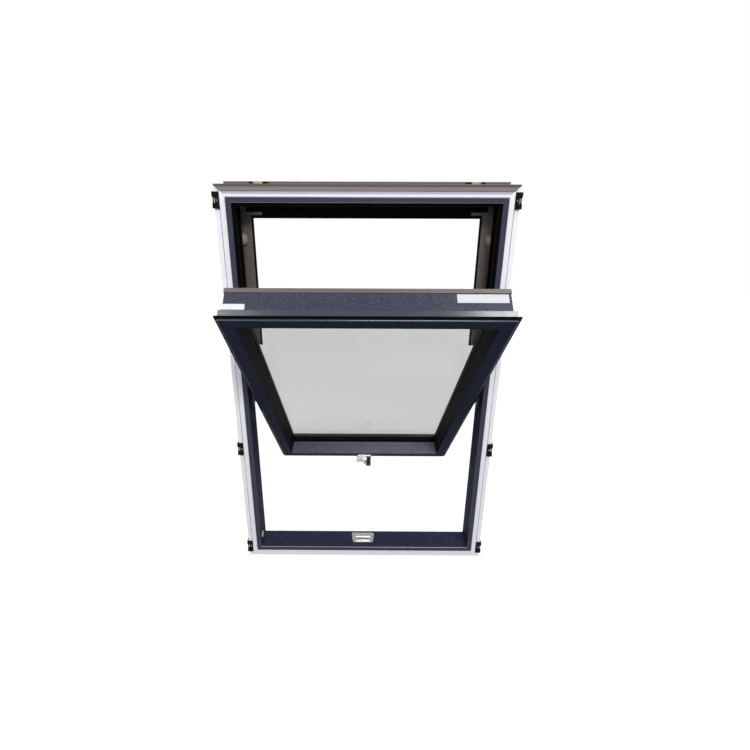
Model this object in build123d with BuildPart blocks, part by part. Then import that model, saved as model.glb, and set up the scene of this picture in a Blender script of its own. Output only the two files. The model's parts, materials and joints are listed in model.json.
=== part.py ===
from build123d import *
import os

# Centre-pivot roof window in its frame, in millimetres. X runs across, Y from the room out to the
# weather, Z up the slope. The origin is the middle of the fixing rectangle, halfway into the fin.
# Profile sizes are given as offsets inwards from the frame's outer edge and as depths behind the
# frame's room face. On the sash they start from the edge and the room face of its inside flange.

# Whole window
frame_width = 780
frame_height = 1180
pivot_setback = 68
open_angle = 43.4
overrun = 90

# Frame profile of welded PVC
fin_reach = 14
fin_front = 12
fin_thickness = 20
groove_width = 2
groove_depth = 3
band_front = 10
nose_offset = 30
nose_width = 14.6
nose_round = 1.6
profile_depth = 80
frame_wall = 2.8

# Sash profile of welded PVC
sash_clearance = 30.2
sash_recess = 4
flange_thickness = 26
flange_step = 6.5
flat_width = 32.5
flat_round = 3
flange_round = 3
glass_ledge_run = 9
glass_ledge_depth = 46
upstand_width = 14
sash_depth = 83.5
sash_wall = 2.8
chamber_front = 6

# Galvanised steel tubes in the main chambers
steel_gauge = 1.5
steel_clearance = 0.2
steel_end_gap = 4

# Insulating glass unit and its gaskets
glass_edge = 24.5
pane_thickness = 4
glass_cavity = 16
edge_seal_width = 7
spacer_width = 10.7
glazing_gasket = 3
glazing_lap = 12
outer_gasket_width = 6.4

# Rubber seals between sash and frame
seal_reach = 6
seal_front = 4.5
seal_height = 5
seal_round = 2
rebate_front = 6
rebate_depth = 56
rebate_base = 3
rebate_bulb = 4.4
rebate_bulb_inset = 6
rebate_end = 70
lip_seal_width = 5.5
lip_seal_height = 2.5
head_pad_side_gap = 25
head_pad_notch_width = 44
head_pad_notch_height = 8.5
head_pad_top_gap = 2

# Aluminium cladding
sheet = 1.5
cover_leg_gap = 12
lip_clearance = 3
lip_lap = 1
upper_cover_start = 140
hood_rise = 5
hood_inset = 10
hood_hem = 8
sash_cover_leg = 11
cover_glass_lap = 9
cover_hem_gap = 1
head_lip_drop = 8
trim_height = 16
trim_rise = 3.5

# Black bracket shoes clipped over the fin
shoe_length = 41
shoe_wall = 4
shoe_block = 10
shoe_block_rise = 2
shoe_slot_width = 5
shoe_slot_length = 14
shoe_slot_reach = 2.5
shoe_edge_gap = 1
shoe_corner_inset = 38.5
shoe_middle_rise = 415
shoe_hole_radius = 3.25
head_shoe_inset = 105
head_shoe_length = 48
head_shoe_depth = 18
head_shoe_notch = 24
head_shoe_notch_depth = 10
head_clip_gap = 0.3
head_clip_proud = 1.5

# Caps on the upper covers
cap_radius = 18
cap_drop = 145

# Pivot: plate, boss and pin on the frame, bearing plate on the sash
pin_radius = 5
pin_clearance = 0.05
pin_end_gap = 1
pin_depth = 8
boss_radius = 11
boss_gap = 1
pivot_plate_width = 40
pivot_plate_height = 96
pivot_plate_shift = 12
pivot_plate_thickness = 4
plate_bevel = 8
bearing_plate_width = 42
bearing_plate_shift = 12
screw_radius = 2
screw_head_width = 7
screw_head_height = 1.6
screw_length = 7
screw_hole_clearance = 0.1
screw_spacing = 76

# Striker on the sill
striker_width = 78
striker_front_width = 67
striker_depth = 48
striker_front = 22
striker_thickness = 3
striker_corner = 7
striker_rib_width = 46
striker_rib_thickness = 6
striker_rib_play = 2
striker_rib_lap = 4
striker_rib_bevel = 2
striker_screw_spacing = 58
striker_screw_depth = 5

# Latch in the bottom rail
latch_place = -4
latch_width = 24
latch_thickness = 8
latch_depth = 14
latch_length = 20
latch_proud = 2
latch_travel = 12
latch_play = 0.3
latch_bevel = 2
case_width = 60
case_front = 10
case_thickness = 14
case_length = 24
case_play = 0.4

# Handle on the bottom rail
handle_offset = 13
base_width = 60
base_length = 21
base_height = 8
base_corner = 6
base_bevel = 1.5
neck_place = 18
neck_radius = 8
neck_reach = 32
handle_gap = 0.4
lever_length = 47
lever_front = 5
lever_thickness = 10
lever_width = 15
lever_bend = 16
lever_edge = 2.5
shank_size = 7
shank_radius = 5.2
shank_end = 18

# Cleaning bolt on the top rail and its bush in the left jamb
bolt_plate_length = 48.5
bolt_plate_depth = 34.8
bolt_plate_height = 14
bolt_plate_thickness = 1.6
bolt_bridge_length = 27.5
bolt_bridge_height = 5.5
bolt_rod_width = 7
bolt_rod_thickness = 2.4
bolt_play = 0.25
bolt_split = 0.5
bolt_tail_inset = 3
bolt_overhang = 2
bush_rise = 72.5
bush_depth = 30
bush_radius = 11
bush_flange = 2.5
bush_sleeve_radius = 7.5
bush_hole_radius = 5.5

# Places that follow from the sizes above
half_width = frame_width / 2
half_height = frame_height / 2
room_y = -fin_front - fin_thickness / 2
pivot_y = room_y + pivot_setback
fin_back = fin_front + fin_thickness
reveal_offset = nose_offset + nose_width
reveal_x = half_width - reveal_offset
sash_offset = reveal_offset + sash_clearance
sash_width = frame_width - 2 * sash_offset
sash_height = frame_height - 2 * sash_offset
sash_half = sash_width / 2
sash_rise = sash_height / 2
sash_y = room_y + sash_recess
ledge_edge = flat_width + glass_ledge_run
glass_front = glass_ledge_depth + glazing_gasket
cavity_front = glass_front + pane_thickness
outer_front = cavity_front + glass_cavity
glass_back = outer_front + pane_thickness
sash_back = sash_depth + sheet
lip_front = max(sash_recess + sash_back + lip_clearance, profile_depth)
cover_leg = profile_depth - fin_back - cover_leg_gap
lip_offset = sash_offset + flange_step - sheet + lip_lap
head_lip_offset = lip_offset + head_lip_drop
cover_edge = glass_edge + cover_glass_lap
body_x = sash_half - flange_step
pivot_depth = pivot_setback - sash_recess


def ring_sides(width, height, front):
    """Planes of a ring's four sides: x inwards from the edge, y to the weather, z along the side."""
    side_x = width / 2
    end_z = height / 2
    return {
        "left": (Plane((-side_x, front, -end_z), x_dir=(1, 0, 0), z_dir=(0, 0, 1)), height),
        "head": (Plane((-side_x, front, end_z), x_dir=(0, 0, -1), z_dir=(1, 0, 0)), width),
        "right": (Plane((side_x, front, end_z), x_dir=(-1, 0, 0), z_dir=(0, 0, -1)), height),
        "sill": (Plane((side_x, front, -end_z), x_dir=(0, 0, 1), z_dir=(-1, 0, 0)), width),
    }


frame_sides = ring_sides(frame_width, frame_height, room_y)
sash_sides = ring_sides(sash_width, sash_height, sash_y)
sash_turn = Pos(0, pivot_y, 0) * Rot(open_angle, 0, 0) * Pos(0, -pivot_y, 0)
sash_face = Plane((0, sash_y, 0), x_dir=(1, 0, 0), z_dir=(0, -1, 0))
bottom_rail = Plane((0, sash_y, -sash_rise), x_dir=(1, 0, 0), z_dir=(0, -1, 0))
SIDES = {"left": -1, "right": 1}
os.makedirs("parts", exist_ok=True)


def mitred_bar(side, section, trims=(), holes=()):
    """One side of a ring: a section run along it, cut at 45 degrees at the corners, trimmed and bored."""
    plane, length = side
    end = plane.origin + plane.z_dir * length
    with BuildPart() as member:
        with BuildSketch(plane.offset(-overrun)):
            add(section.sketch_local)
        extrude(amount=length + 2 * overrun)
        split(bisect_by=Plane(plane.origin, x_dir=plane.y_dir, z_dir=plane.z_dir - plane.x_dir))
        split(bisect_by=Plane(end, x_dir=plane.y_dir, z_dir=-plane.z_dir - plane.x_dir))
        for trim in trims:
            split(bisect_by=trim)
        for hole in holes:
            add(hole.part, mode=Mode.SUBTRACT)
    return member


def write(piece, name, turned=False):
    """Label a finished piece and write it, swung open with the sash if it rides on it."""
    if turned:
        piece.part = piece.part.moved(sash_turn)
    piece.part.label = name
    export_step(piece.part, f"parts/{name}.step")


def joined(pieces):
    """Bars of one moulding, welded at their corners."""
    with BuildPart() as whole:
        for piece in pieces:
            add(piece.part)
    return whole


def pocket(x, y, width, height):
    """Chamber cut out of a section, given by its corner and size."""
    with Locations((x, y)):
        Rectangle(width, height, align=(Align.MIN, Align.MIN), mode=Mode.SUBTRACT)


def bar(x, y, width, height):
    """Rectangle of a section, given by its corner and size."""
    with Locations((x, y)):
        Rectangle(width, height, align=(Align.MIN, Align.MIN))


def bores(plane, places, radius, depth):
    """Round holes sunk behind a plane, to be cut out of a piece."""
    with BuildPart() as holes:
        with BuildSketch(plane):
            with Locations(*places):
                Circle(radius)
        extrude(amount=-depth)
    return holes


def above(height):
    return Plane((0, 0, height), z_dir=(0, 0, 1))


def below(height):
    return Plane((0, 0, height), z_dir=(0, 0, -1))


# Frame profiles
with BuildSketch() as frame_section:
    with BuildLine():
        Polyline(
            (0, fin_front),
            (fin_reach - groove_width, fin_front),
            (fin_reach - groove_width, fin_front + groove_depth),
            (fin_reach, fin_front + groove_depth),
            (fin_reach, band_front),
            (nose_offset, band_front),
            (nose_offset, 0),
            (reveal_offset, 0),
            (reveal_offset, profile_depth),
            (fin_reach, profile_depth),
            (fin_reach, fin_back),
            (0, fin_back),
            close=True,
        )
    make_face()
    fillet(frame_section.vertices().group_by(Axis.Y)[0], radius=nose_round)
    chamber_width = reveal_offset - fin_reach - 2 * frame_wall
    front_depth = fin_back - 2 * frame_wall
    pocket(nose_offset + frame_wall, frame_wall, nose_width - 2 * frame_wall, front_depth)
    pocket(
        fin_reach + frame_wall,
        band_front + frame_wall,
        nose_offset - fin_reach - frame_wall,
        front_depth - band_front,
    )
    pocket(fin_reach + frame_wall, fin_back, chamber_width, profile_depth - fin_back - frame_wall)

shoe_places = [half_height - shoe_corner_inset]
shoe_places += [rise - half_height for rise in (shoe_middle_rise, shoe_corner_inset)]
fin_middle = fin_reach / 2
plate_screws = [(-pivot_plate_shift, screw_spacing / 2), (-pivot_plate_shift, -screw_spacing / 2)]


def reveal_plane(sign, inset=0):
    """Plane on a jamb's reveal at the pivot, facing the opening."""
    return Plane((sign * (reveal_x - inset), pivot_y, 0), x_dir=(0, 1, 0), z_dir=(-sign, 0, 0))


bush_place = (room_y + bush_depth - pivot_y, bush_rise - half_height)
screw_hole = screw_radius + screw_hole_clearance


def jamb_holes(sign):
    fixings = [(sign * (half_width - fin_middle), place) for place in shoe_places]
    holes = [bores(Plane.XZ.offset(overrun), fixings, shoe_hole_radius, 2 * overrun)]
    holes.append(bores(reveal_plane(sign), plate_screws, screw_hole, screw_length))
    if sign == SIDES["left"]:
        holes.append(bores(reveal_plane(sign), [bush_place], bush_sleeve_radius, frame_wall))
    return holes


def striker_screw_points():
    return [(sign * striker_screw_spacing / 2 + latch_place, room_y + striker_front + striker_screw_depth)
            for sign in SIDES.values()]


sill_top = reveal_offset - half_height


sill_holes = [bores(above(sill_top), striker_screw_points(), screw_hole, screw_length)]

for name, sign in SIDES.items():
    write(mitred_bar(frame_sides[name], frame_section, holes=jamb_holes(sign)), f"frame_jamb_{name}")
write(mitred_bar(frame_sides["head"], frame_section), "frame_head")
write(mitred_bar(frame_sides["sill"], frame_section, holes=sill_holes), "frame_sill")


# Steel tubes inside the frame
def steel_tube(side, corner, size, start, holes=()):
    """Square-cut tube of a side's main chamber, clear of the corners."""
    plane, length = side
    width, depth = (span - 2 * steel_clearance for span in size)
    with BuildPart() as tube:
        with BuildSketch(plane.offset(start)):
            bar(corner[0] + steel_clearance, corner[1] + steel_clearance, width, depth)
            inner = steel_clearance + steel_gauge
            pocket(corner[0] + inner, corner[1] + inner, width - 2 * steel_gauge, depth - 2 * steel_gauge)
        extrude(amount=length - 2 * start)
        for hole in holes:
            add(hole.part, mode=Mode.SUBTRACT)
    return tube


frame_chamber = (fin_reach + frame_wall, fin_back)
frame_chamber_size = (
    reveal_offset - fin_reach - 2 * frame_wall,
    profile_depth - fin_back - frame_wall,
)


for name in frame_sides:
    holes = []
    if name in SIDES:
        holes = [bores(reveal_plane(SIDES[name]), plate_screws, screw_hole, screw_length)]
    start = reveal_offset + steel_end_gap
    tube = steel_tube(frame_sides[name], frame_chamber, frame_chamber_size, start, holes)
    write(tube, f"frame_steel_{name}")


# Rubber rebate seal round the upper half of the opening
with BuildSketch() as rebate_section:
    bar(reveal_offset, rebate_front, rebate_base, rebate_depth)
    bulb_offset = reveal_offset + rebate_base + rebate_bulb / 2
    far_bulb = rebate_front + rebate_depth - rebate_bulb_inset
    with Locations((bulb_offset, rebate_front + rebate_bulb_inset), (bulb_offset, far_bulb)):
        Circle(rebate_bulb)
    pocket(reveal_offset - rebate_base, 0, rebate_base, profile_depth)

UPPER = ("left", "head", "right")
rebate_trims = [above(rebate_end)]
rebate_bars = [mitred_bar(frame_sides[name], rebate_section, rebate_trims) for name in UPPER]
write(joined(rebate_bars), "rebate_seal")


# Aluminium covers of the frame
def cover_step(start, edge):
    """Sheet over the frame's back, stepped up to the lip that laps the sash."""
    bar(start, profile_depth, reveal_offset - start, sheet)
    bar(reveal_offset - sheet, profile_depth, sheet, lip_front + sheet - profile_depth)
    bar(reveal_offset - sheet, lip_front, edge - reveal_offset + sheet, sheet)


with BuildSketch() as upper_cover_section:
    cover_step(fin_reach - sheet, lip_offset)
    bar(fin_reach - sheet, profile_depth - cover_leg, sheet, cover_leg)


with BuildSketch() as hood_section:
    cover_step(-hood_rise, head_lip_offset)
    bar(-hood_rise, profile_depth, sheet, hood_hem)


with BuildSketch() as lower_cover_section:
    bar(fin_reach - sheet, profile_depth, reveal_offset - fin_reach + sheet, sheet)
    bar(fin_reach - sheet, profile_depth - cover_leg, sheet, cover_leg)


hood_half = half_width - hood_inset
hood_trims = [Plane((sign * hood_half, 0, 0), z_dir=(-sign, 0, 0)) for sign in SIDES.values()]

for name in SIDES:
    cover = mitred_bar(frame_sides[name], upper_cover_section, [above(upper_cover_start)])
    write(cover, f"upper_cover_{name}")
    cover = mitred_bar(frame_sides[name], lower_cover_section, [below(upper_cover_start)])
    write(cover, f"lower_cover_{name}")
write(mitred_bar(frame_sides["head"], hood_section, hood_trims), "head_hood")
write(mitred_bar(frame_sides["sill"], lower_cover_section), "sill_cover")


with BuildSketch() as head_trim_section:
    bar(0, band_front - sheet, trim_height, sheet)
    bar(0, fin_front - trim_rise, sheet, trim_rise)


write(mitred_bar(frame_sides["head"], head_trim_section), "head_trim")


# Rubber on the lips: a strip down each side and a pad over the head, notched at its ends
lip_x = half_width - lip_offset
head_lip_z = half_height - head_lip_offset
pad_half = lip_x - head_pad_side_gap
pad_top = half_height - reveal_offset - head_pad_top_gap
with BuildPart() as lip_seal:
    with BuildSketch(Plane.XZ.offset(-room_y - lip_front)):
        for sign in SIDES.values():
            with Locations((sign * (lip_x + lip_seal_width / 2), upper_cover_start)):
                strip_length = head_lip_z - upper_cover_start + head_lip_drop
                Rectangle(lip_seal_width, strip_length, align=(Align.CENTER, Align.MIN))
        with Locations((0, head_lip_z)):
            Rectangle(2 * lip_x, head_lip_drop, align=(Align.CENTER, Align.MIN))
            Rectangle(2 * pad_half, pad_top - head_lip_z, align=(Align.CENTER, Align.MIN))
        with Locations((0, pad_top)):
            pad_rise = pad_top - head_lip_z - head_lip_drop - head_pad_notch_height
            Rectangle(2 * (pad_half + head_pad_notch_width), pad_rise, align=(Align.CENTER, Align.MAX))
    extrude(amount=lip_seal_height)
write(lip_seal, "lip_seal")


# Bracket shoes: clips round the fin with raised ends and a slot between them
def shoe_section():
    reach = fin_reach - shoe_edge_gap
    bar(-shoe_wall, fin_front - shoe_wall, shoe_wall + reach, shoe_wall)
    bar(-shoe_wall, fin_front - shoe_wall, shoe_wall, fin_thickness + 2 * shoe_wall)
    bar(-shoe_wall, fin_back, shoe_wall + reach, shoe_wall)


def fin_shoe(plane):
    """Clip hugging the fin, centred on a plane laid across it."""
    with BuildPart() as shoe:
        with BuildSketch(plane.offset(-shoe_length / 2)):
            shoe_section()
        extrude(amount=shoe_length)
        for start in (-shoe_length / 2, shoe_length / 2 - shoe_block):
            with BuildSketch(plane.offset(start)):
                rise = shoe_wall + shoe_block_rise
                bar(-shoe_wall, fin_front - rise, shoe_wall + fin_reach - shoe_edge_gap, shoe_block_rise)
            extrude(amount=shoe_block)
        with BuildSketch(plane.offset(-shoe_slot_length / 2)):
            bar(-shoe_wall, fin_front - shoe_wall, shoe_wall + shoe_slot_reach, shoe_slot_width)
        extrude(amount=shoe_slot_length, mode=Mode.SUBTRACT)
        with BuildSketch(Plane(plane.origin, x_dir=plane.x_dir, z_dir=plane.y_dir)):
            with Locations((fin_middle, 0)):
                Circle(shoe_hole_radius)
        extrude(amount=overrun, mode=Mode.SUBTRACT)
    return shoe


for name, sign in SIDES.items():
    shoes = []
    for place in shoe_places:
        plane = Plane((sign * half_width, room_y, place), x_dir=(-sign, 0, 0), z_dir=(0, 0, -sign))
        shoes.append(fin_shoe(plane))
    write(joined(shoes), f"bracket_shoes_{name}")

with BuildPart() as head_shoes:
    head_back = room_y + profile_depth
    seat = half_height - fin_reach
    with BuildSketch(Plane.XZ.offset(-head_back)):
        for sign in SIDES.values():
            with Locations((sign * (half_width - head_shoe_inset), seat)):
                Rectangle(head_shoe_length, fin_reach + hood_rise, align=(Align.CENTER, Align.MIN))
            with Locations((sign * (half_width - head_shoe_inset), half_height + hood_rise)):
                Rectangle(
                    head_shoe_notch,
                    head_shoe_notch_depth,
                    align=(Align.CENTER, Align.MAX),
                    mode=Mode.SUBTRACT,
                )
    extrude(amount=head_shoe_depth)
write(head_shoes, "bracket_shoes_head")

# Steel clips held in the notches of the head's shoes
clip_width = head_shoe_notch - 2 * head_clip_gap
with BuildPart() as head_clips:
    with BuildSketch(Plane.XZ.offset(head_clip_proud - head_back)):
        for sign in SIDES.values():
            with Locations((sign * (half_width - head_shoe_inset), half_height + hood_rise)):
                Rectangle(clip_width, head_shoe_notch_depth, align=(Align.CENTER, Align.MAX))
    extrude(amount=head_shoe_depth)
write(head_clips, "head_clips")

# Domed buffers in the corner between the upper covers' lips and the reveal
lip_y = room_y + lip_front
with BuildPart() as caps:
    for sign in SIDES.values():
        with BuildPart(mode=Mode.PRIVATE) as dome:
            with Locations((sign * reveal_x, lip_y, half_height - cap_drop)):
                Sphere(cap_radius)
            split(bisect_by=Plane((sign * reveal_x, 0, 0), z_dir=(-sign, 0, 0)))
            split(bisect_by=Plane((0, lip_y, 0), z_dir=(0, -1, 0)))
        add(dome.part)
write(caps, "cover_caps")

# Pivot plates on the reveals, each with its boss and pin
pin_tip = body_x - pin_depth
for name, sign in SIDES.items():
    with BuildPart() as pivot:
        with BuildSketch(reveal_plane(sign)):
            with Locations((-pivot_plate_shift, 0)):
                plate = Rectangle(pivot_plate_width, pivot_plate_height)
            chamfer(plate.vertices(), length=plate_bevel)
            with Locations(*plate_screws):
                Circle(screw_radius + screw_hole_clearance, mode=Mode.SUBTRACT)
        extrude(amount=pivot_plate_thickness)
        with BuildSketch(reveal_plane(sign)):
            Circle(boss_radius)
        extrude(amount=reveal_x - body_x - pivot_plate_thickness - boss_gap)
        with BuildSketch(reveal_plane(sign)):
            Circle(pin_radius)
        extrude(amount=reveal_x - pin_tip)
    write(pivot, f"pivot_plate_{name}")


# Screws: a hexagon head and a shank kept six-sided as it is hidden, on a plane that faces the spanner
def screws(planes_and_places):
    with BuildPart() as group:
        for plane, places in planes_and_places:
            with BuildSketch(plane):
                with Locations(*places):
                    RegularPolygon(screw_head_width / 2, 6, major_radius=False)
            extrude(amount=screw_head_height)
            with BuildSketch(plane):
                with Locations(*places):
                    RegularPolygon(screw_radius, 6)
            extrude(amount=-screw_length)
    return group


striker_top = Plane.XY.offset(sill_top + striker_thickness)
frame_screws = [(reveal_plane(sign, pivot_plate_thickness), plate_screws) for sign in SIDES.values()]
frame_screws.append((striker_top, striker_screw_points()))
write(screws(frame_screws), "frame_screws")

# Striker: a plate on the sill, wider to the weather, with the rib that the latch hooks behind
latch_back = sash_recess + latch_depth + latch_thickness
rib_top = sash_offset - latch_proud - latch_travel + striker_rib_lap - half_height
with BuildPart() as striker:
    with BuildSketch(Plane.XY.offset(sill_top)):
        with BuildLine():
            Polyline(
                (latch_place - striker_front_width / 2, room_y + striker_front),
                (latch_place + striker_front_width / 2, room_y + striker_front),
                (latch_place + striker_width / 2, room_y + striker_front + striker_depth),
                (latch_place - striker_width / 2, room_y + striker_front + striker_depth),
                close=True,
            )
        plate = make_face()
        fillet(plate.vertices(), radius=striker_corner)
        with Locations(*striker_screw_points()):
            Circle(screw_radius + screw_hole_clearance, mode=Mode.SUBTRACT)
    extrude(amount=striker_thickness)
    with BuildSketch(Plane.XY.offset(sill_top)):
        with Locations((latch_place, room_y + latch_back + striker_rib_play)):
            Rectangle(striker_rib_width, striker_rib_thickness, align=(Align.CENTER, Align.MIN))
    extrude(amount=rib_top - sill_top)
    rib_edges = striker.edges().filter_by(Axis.X).group_by(Axis.Z)[-1]
    chamfer(rib_edges, length=striker_rib_bevel)
write(striker, "striker")

# Bush for the cleaning bolt in the left jamb
with BuildPart() as bush:
    with BuildSketch(reveal_plane(SIDES["left"])):
        with Locations(bush_place):
            Circle(bush_radius)
    extrude(amount=bush_flange)
    with BuildSketch(reveal_plane(SIDES["left"])):
        with Locations(bush_place):
            Circle(bush_sleeve_radius)
    extrude(amount=-frame_wall)
    with BuildSketch(reveal_plane(SIDES["left"], bush_flange)):
        with Locations(bush_place):
            Circle(bush_hole_radius)
    extrude(amount=-overrun, mode=Mode.SUBTRACT)
write(bush, "bolt_bush")


# Sash profiles
sash_chamber = (flange_step + sash_wall, chamber_front)
sash_chamber_size = (
    flat_width - flange_step - 2 * sash_wall,
    glass_ledge_depth - chamber_front - sash_wall,
)
with BuildSketch() as sash_section:
    with BuildLine():
        Polyline(
            (0, 0),
            (flat_width, 0),
            (ledge_edge, glass_ledge_depth),
            (flange_step + upstand_width, glass_ledge_depth),
            (flange_step + upstand_width, sash_depth),
            (flange_step, sash_depth),
            (flange_step, flange_thickness),
            (0, flange_thickness),
            close=True,
        )
    make_face()
    front_corners = sash_section.vertices().group_by(Axis.Y)[0].sort_by(Axis.X)
    fillet(front_corners[-1], radius=flat_round)
    fillet(sash_section.vertices().group_by(Axis.X)[0].sort_by(Axis.Y)[0], radius=flange_round)
    pocket(*sash_chamber, *sash_chamber_size)
    upper_chamber = glass_front
    pocket(
        flange_step + sash_wall,
        upper_chamber,
        upstand_width - 2 * sash_wall,
        sash_depth - upper_chamber - sash_wall,
    )


bearing_screws = [(-bearing_plate_shift, end * screw_spacing / 2) for end in SIDES.values()]


def body_plane(sign, inset=0):
    """Plane on a stile's outer side at the pivot, facing the reveal."""
    return Plane((sign * (body_x + inset), pivot_y, 0), x_dir=(0, 1, 0), z_dir=(sign, 0, 0))


def stile_holes(sign):
    pin_hole = bores(body_plane(sign), [(0, 0)], pin_radius + pin_end_gap, pin_depth + pin_end_gap)
    return [pin_hole, bores(body_plane(sign), bearing_screws, screw_hole, screw_length)]


def rail_box(left, width, offset, length, front, depth):
    """Box to cut out of the bottom rail: across, up from its edge, and back from its room face."""
    with BuildPart() as box:
        with BuildSketch(bottom_rail.offset(-front)):
            with Locations((left, offset)):
                Rectangle(width, length, align=(Align.MIN, Align.MIN))
        extrude(amount=-depth)
    return box


case_left = latch_place - latch_width
shank_place = (neck_place, handle_offset)


case_back = case_front + case_thickness
rail_holes = [
    rail_box(case_left, case_width, 0, case_length, case_front, case_thickness),
    bores(bottom_rail, [shank_place], shank_radius, case_front),
]
rail_steel_holes = [rail_box(case_left, case_width, 0, case_length, chamber_front, case_back - chamber_front)]

for name, sign in SIDES.items():
    stile = mitred_bar(sash_sides[name], sash_section, holes=stile_holes(sign))
    write(stile, f"sash_stile_{name}", turned=True)
write(mitred_bar(sash_sides["head"], sash_section), "sash_top_rail", turned=True)
write(mitred_bar(sash_sides["sill"], sash_section, holes=rail_holes), "sash_bottom_rail", turned=True)

SASH_STEEL = {"left": "stile_left", "right": "stile_right", "head": "top_rail", "sill": "bottom_rail"}
for name, place in SASH_STEEL.items():
    holes = []
    if name == "sill":
        holes = rail_steel_holes
    start = ledge_edge + steel_end_gap
    tube = steel_tube(sash_sides[name], sash_chamber, sash_chamber_size, start, holes)
    write(tube, f"sash_steel_{place}", turned=True)


# Insulating glass unit and glazing gaskets, all rectangular rings or sheets in the sash's plane
def sash_layer(outer, front, depth, inner=None):
    """Sheet of the sash's shape set in from its edge, or a ring if an inner edge is given."""
    with BuildPart() as layer:
        with BuildSketch(sash_face.offset(-front)):
            Rectangle(sash_width - 2 * outer, sash_height - 2 * outer)
            if inner:
                Rectangle(sash_width - 2 * inner, sash_height - 2 * inner, mode=Mode.SUBTRACT)
        extrude(amount=-depth)
    return layer


spacer_edge = glass_edge + edge_seal_width
gasket_inner = cover_edge - sheet
LAYERS = {
    "glazing_gasket": (ledge_edge - glazing_lap, glass_ledge_depth, glazing_gasket, ledge_edge),
    "inner_pane": (glass_edge, glass_front, pane_thickness),
    "edge_seal": (glass_edge, cavity_front, glass_cavity, spacer_edge),
    "glass_spacer": (spacer_edge, cavity_front, glass_cavity, spacer_edge + spacer_width),
    "outer_pane": (glass_edge, outer_front, pane_thickness),
    "cover_gasket": (gasket_inner - outer_gasket_width, glass_back, sash_depth - glass_back, gasket_inner),
}
for name, sizes in LAYERS.items():
    write(sash_layer(*sizes), name, turned=True)


# Rubber seal round the sash's inside flange
with BuildSketch() as seal_section:
    bar(-seal_reach, seal_front, seal_reach, seal_height)
    fillet(seal_section.vertices().group_by(Axis.X)[0], radius=seal_round)


write(joined([mitred_bar(side, seal_section) for side in sash_sides.values()]), "sash_seal", turned=True)


# Aluminium covers of the sash, close-fitting all round
with BuildSketch() as sash_cover_section:
    bar(flange_step - sheet, sash_back - sash_cover_leg, sheet, sash_cover_leg)
    bar(flange_step - sheet, sash_depth, cover_edge - flange_step + sheet, sheet)
    cover_hem = glass_back + cover_hem_gap
    bar(cover_edge - sheet, cover_hem, sheet, sash_back - cover_hem)

SASH_COVERS = {"left": "left", "right": "right", "head": "top", "sill": "bottom"}
for name, place in SASH_COVERS.items():
    write(mitred_bar(sash_sides[name], sash_cover_section), f"sash_cover_{place}", turned=True)

# Bearing plates on the stiles, which turn on the pins
for name, sign in SIDES.items():
    with BuildPart() as bearing:
        with BuildSketch(body_plane(sign)):
            with Locations((-bearing_plate_shift, 0)):
                plate = Rectangle(bearing_plate_width, pivot_plate_height)
            chamfer(plate.vertices(), length=plate_bevel)
            Circle(pin_radius + pin_clearance, mode=Mode.SUBTRACT)
            with Locations(*bearing_screws):
                Circle(screw_radius + screw_hole_clearance, mode=Mode.SUBTRACT)
        extrude(amount=pivot_plate_thickness)
    write(bearing, f"bearing_plate_{name}", turned=True)

handle_back = bottom_rail.offset(base_height)
sash_screws = [(body_plane(sign, pivot_plate_thickness), bearing_screws) for sign in SIDES.values()]
write(screws(sash_screws), "sash_screws", turned=True)

# Latch case and tongue
with BuildPart() as case:
    with BuildSketch(bottom_rail.offset(-case_front - case_play)):
        with Locations((case_left + case_play, case_play)):
            Rectangle(case_width - 2 * case_play, case_length - 2 * case_play, align=(Align.MIN, Align.MIN))
    extrude(amount=-case_thickness + 2 * case_play)
    slot_width = latch_width + 2 * latch_play
    slot_depth = latch_thickness + 2 * latch_play
    with BuildSketch(bottom_rail.offset(latch_play - latch_depth)):
        with Locations((latch_place, 0)):
            Rectangle(slot_width, latch_length, align=(Align.CENTER, Align.MIN))
    extrude(amount=-slot_depth, mode=Mode.SUBTRACT)
    with BuildSketch(bottom_rail):
        with Locations(shank_place):
            Circle(shank_radius)
    extrude(amount=-shank_end - handle_gap, mode=Mode.SUBTRACT)
write(case, "latch_case", turned=True)

with BuildPart() as tongue:
    with BuildSketch(bottom_rail.offset(-latch_depth)):
        with Locations((latch_place, -latch_proud)):
            Rectangle(latch_width, latch_length, align=(Align.CENTER, Align.MIN))
    extrude(amount=-latch_thickness)
    tip_edges = tongue.edges().filter_by(Axis.X).group_by(Axis.Z)[0]
    chamfer(tip_edges.sort_by(Axis.Y)[0], length=latch_bevel)
write(tongue, "latch_tongue", turned=True)

# Handle: base plate, and the lever cast with its neck and square shank
with BuildPart() as base:
    with BuildSketch(bottom_rail):
        with Locations((0, handle_offset)):
            RectangleRounded(base_width, base_length, base_corner)
    extrude(amount=base_height)
    chamfer(base.faces().sort_by(Axis.Y)[0].edges(), length=base_bevel)
    with BuildSketch(handle_back):
        with Locations(shank_place):
            Circle(shank_radius)
    extrude(amount=-base_height, mode=Mode.SUBTRACT)
write(base, "handle_base", turned=True)

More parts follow.
